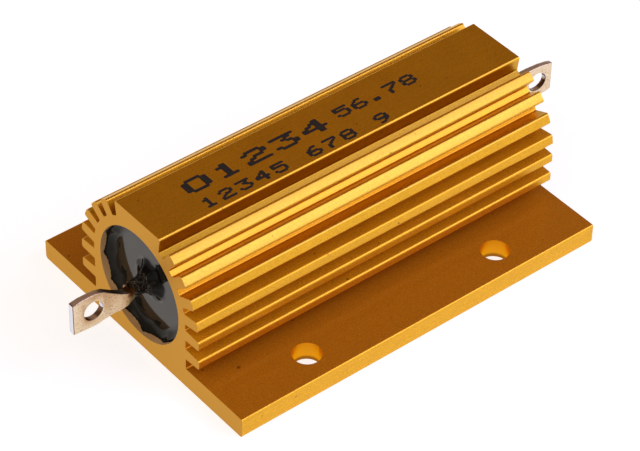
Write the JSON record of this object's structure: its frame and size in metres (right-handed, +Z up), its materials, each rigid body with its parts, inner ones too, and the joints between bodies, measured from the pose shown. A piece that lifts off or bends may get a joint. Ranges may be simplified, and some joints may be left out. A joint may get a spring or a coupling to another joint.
{
  "type": "chassis mount resistor",
  "caption": "Wirewound power resistor in a finned gold-anodised extrusion on a flanged base with screw holes, its bore filled with compound and a flat solder lug with an eye at each end.",
  "frame": {"origin": "centre of the mounting face, the underside of the flanged base", "axes": "+X along the extrusion and its terminals, +Y across the mounting flanges, +Z up from the mounting face"},
  "size_m": [0.088, 0.0466, 0.0234],
  "materials": {
    "housing": "gold anodised, satin, sawn ends",
    "compound": "glossy black cast compound",
    "ceramic": "unglazed steatite",
    "resistance_wire": "bare nickel alloy wire",
    "end_caps": "drawn nickel-plated steel",
    "terminals": "tinned, heat-tinted at the neck"
  },
  "bodies": {
    "root": {"housing": "housing", "encapsulant": "compound", "ceramic_core": "ceramic", "resistance_winding": "resistance_wire", "end_cap_left": "end_caps", "end_cap_right": "end_caps", "terminal_left": "terminals", "terminal_right": "terminals"}
  },
  "joints": []
}
